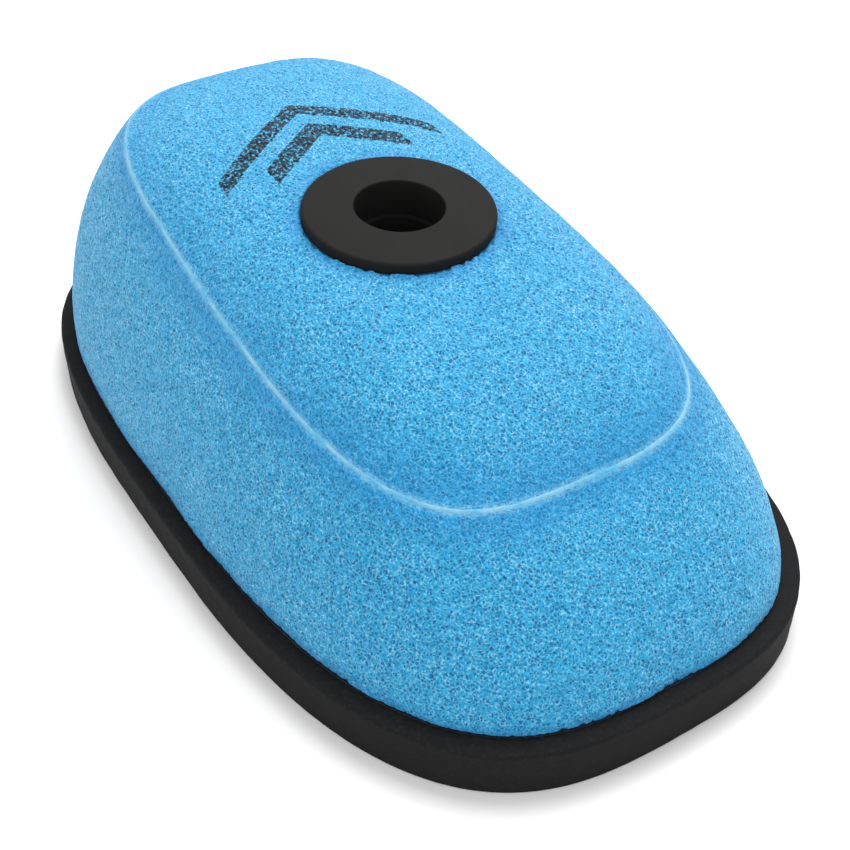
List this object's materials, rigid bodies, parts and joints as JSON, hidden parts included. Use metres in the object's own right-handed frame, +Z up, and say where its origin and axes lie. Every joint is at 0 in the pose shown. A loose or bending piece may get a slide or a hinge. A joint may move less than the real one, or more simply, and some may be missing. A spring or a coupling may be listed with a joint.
{
  "type": "foam air filter",
  "caption": "Dual-layer foam air filter element: a sloping oval hood on a dense sealing ring, open below, with a moulded bolt grommet through its crowned top.",
  "frame": {"origin": "centre of the sealing ring's underside, which rests on the XY plane", "axes": "+Z up through the crowned top, +X along the element towards its low, long-sloping end, +Y across it"},
  "size_m": [0.2601, 0.15, 0.0855],
  "materials": {
    "coarse_foam": "oiled coarse reticulated polyurethane foam, bright blue",
    "fine_foam": "oiled fine reticulated polyurethane foam, deeper blue",
    "sealing_foam": "dense closed-cell foam, matte black",
    "moulded_black": "moulded black rubber, matte",
    "glue": "cured contact adhesive, pale grey-blue",
    "dark_glue": "cured contact adhesive, darkened by the sealing foam"
  },
  "bodies": {
    "root": {"sealing_ring": "sealing_foam", "outer_base_bond": "dark_glue", "inner_base_bond": "dark_glue", "outer_skirt": "coarse_foam", "outer_closing_seam": "glue", "outer_seam_bond": "glue", "outer_top_panel": "coarse_foam", "inner_skirt": "fine_foam", "inner_closing_seam": "glue", "inner_seam_bond": "glue", "inner_top_panel": "fine_foam", "bolt_grommet": "moulded_black", "flange_bond": "glue", "backing_washer": "moulded_black", "washer_bond": "glue"}
  },
  "joints": []
}
